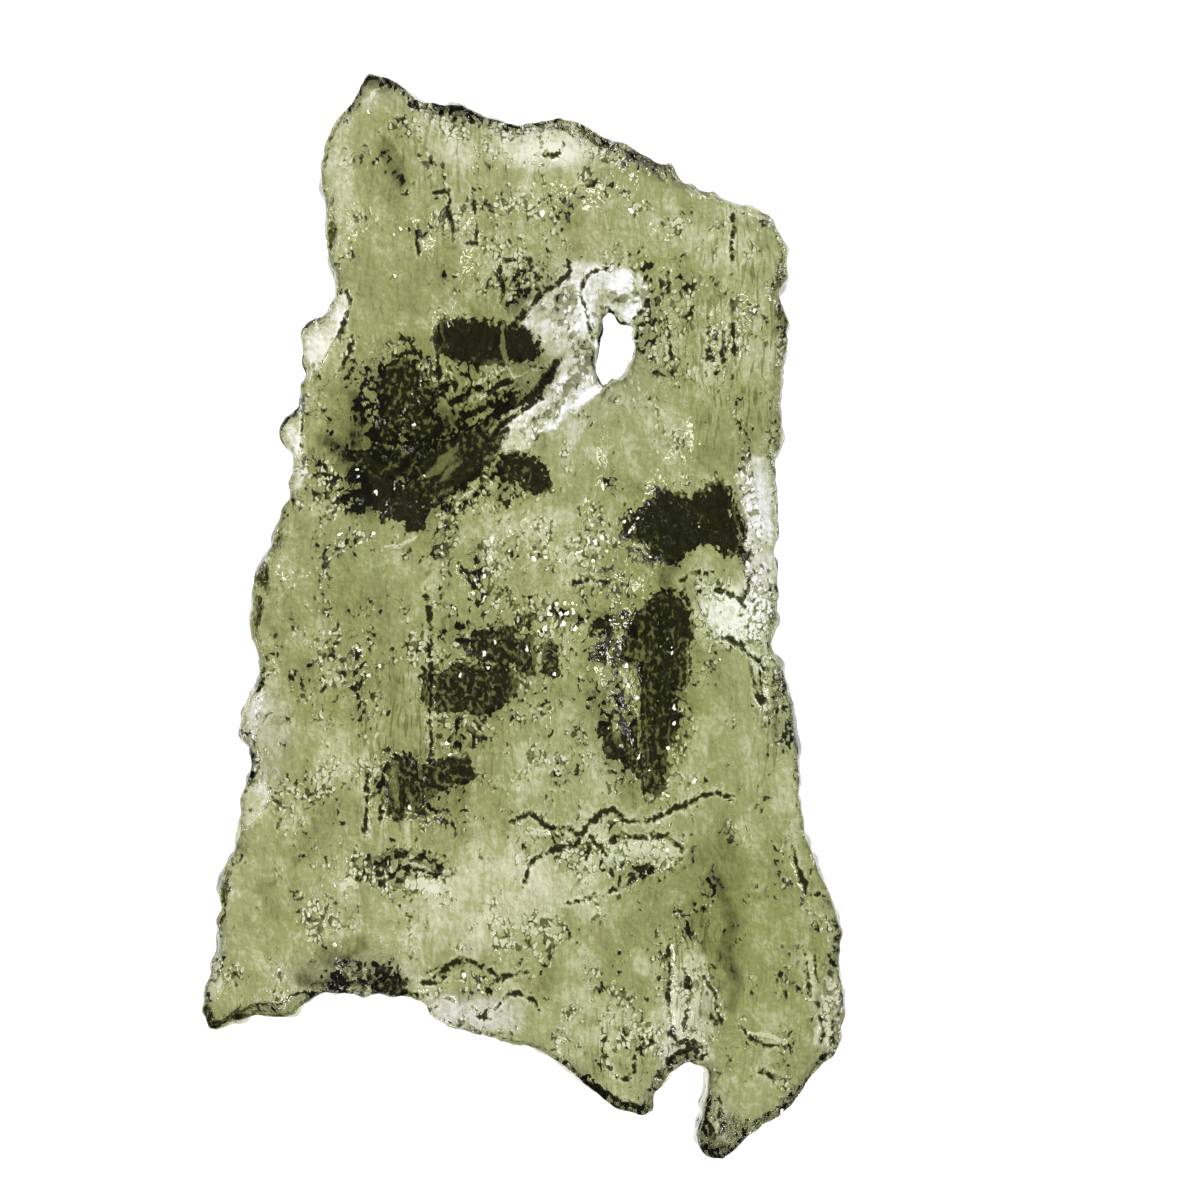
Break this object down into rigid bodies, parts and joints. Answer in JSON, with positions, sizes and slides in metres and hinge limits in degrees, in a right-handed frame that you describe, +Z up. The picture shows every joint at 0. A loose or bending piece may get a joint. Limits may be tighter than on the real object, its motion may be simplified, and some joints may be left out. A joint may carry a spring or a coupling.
{
  "type": "moldavite",
  "caption": "Thin flat fragment of natural green glass with an etched, fluted skin, a broken rim, a notched end and a small hole through a worn-thin gouge.",
  "frame": {"origin": "on the surface the stone rests on, under the middle of its box", "axes": "+Y along the stone's length towards its pointed tip, +X towards its straight side, +Z up out of the back that the picture shows"},
  "size_m": [0.0192, 0.032, 0.0054],
  "materials": {
    "bottle_green_glass": "natural olive green glass, see-through where thin and dark olive where thick, glossy in its hollows and etched with fine flutes and pits"
  },
  "bodies": {
    "root": {"moldavite": "bottle_green_glass"}
  },
  "joints": []
}
